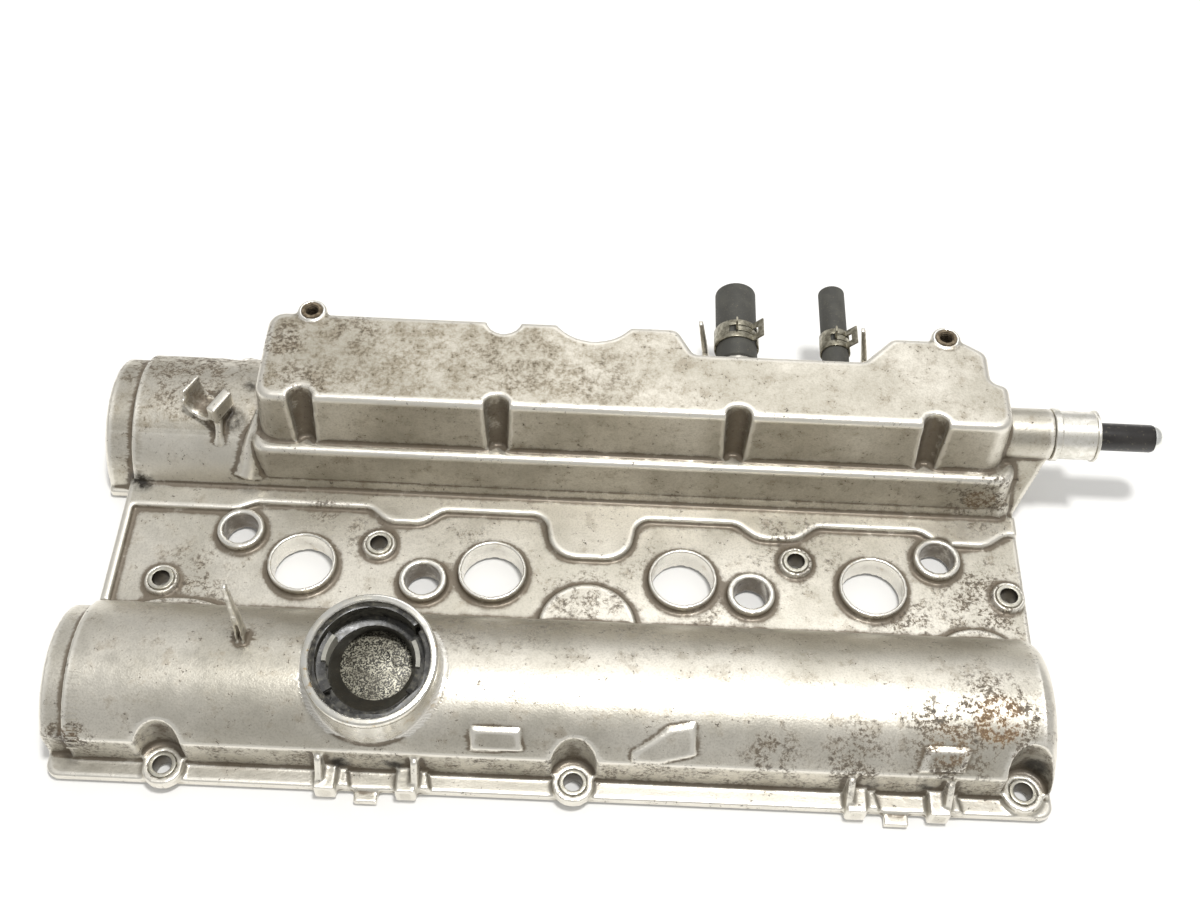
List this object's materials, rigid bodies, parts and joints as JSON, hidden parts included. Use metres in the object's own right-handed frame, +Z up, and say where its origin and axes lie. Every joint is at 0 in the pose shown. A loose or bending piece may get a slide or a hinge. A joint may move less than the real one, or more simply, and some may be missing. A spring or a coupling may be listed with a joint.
{
  "type": "engine valve cover",
  "caption": "Cast aluminium valve cover with two camshaft humps, plug wells, stepped breather box, filler neck and breather hose stubs.",
  "frame": {"origin": "middle of the row of large plug wells, on the machined sealing face", "axes": "+X along the camshafts towards the side outlet, +Y from the front hump to the rear hump, +Z up out of the sealing face"},
  "size_m": [0.518, 0.2669, 0.0828],
  "materials": {
    "cast_aluminium": "as-cast aluminium, oil-stained",
    "black_collar": "moulded, oily",
    "oiled_steel": "pressed sheet, oil-blackened",
    "zinc_steel": "zinc-plated, worn",
    "seal_rubber": "matte",
    "rusty_insert": "rusted",
    "spigot_steel": "dull",
    "hose_rubber": "matte",
    "clamp_steel": "spring steel, dull",
    "turned_aluminium": "turned",
    "glossy_hose": "glossy",
    "polished_steel": "polished"
  },
  "bodies": {
    "root": {"cover_casting": "cast_aluminium", "filler_collar": "black_collar", "filler_baffle": "oiled_steel", "filler_baffle_rivets": "oiled_steel", "separator_baffle": "oiled_steel", "separator_baffle_screws": "zinc_steel", "perimeter_gasket": "seal_rubber", "large_well_seals": "seal_rubber", "small_well_seals": "seal_rubber", "front_flange_sleeves": "zinc_steel", "rear_flange_sleeves": "zinc_steel", "valley_sleeves": "zinc_steel", "ear_inserts": "rusty_insert", "large_spigot": "spigot_steel", "small_spigot": "spigot_steel", "large_hose": "hose_rubber", "small_hose": "hose_rubber", "large_hose_clamp": "clamp_steel", "small_hose_clamp": "clamp_steel", "side_tube": "turned_aluminium", "side_hose": "glossy_hose", "side_plug": "polished_steel"}
  },
  "joints": []
}
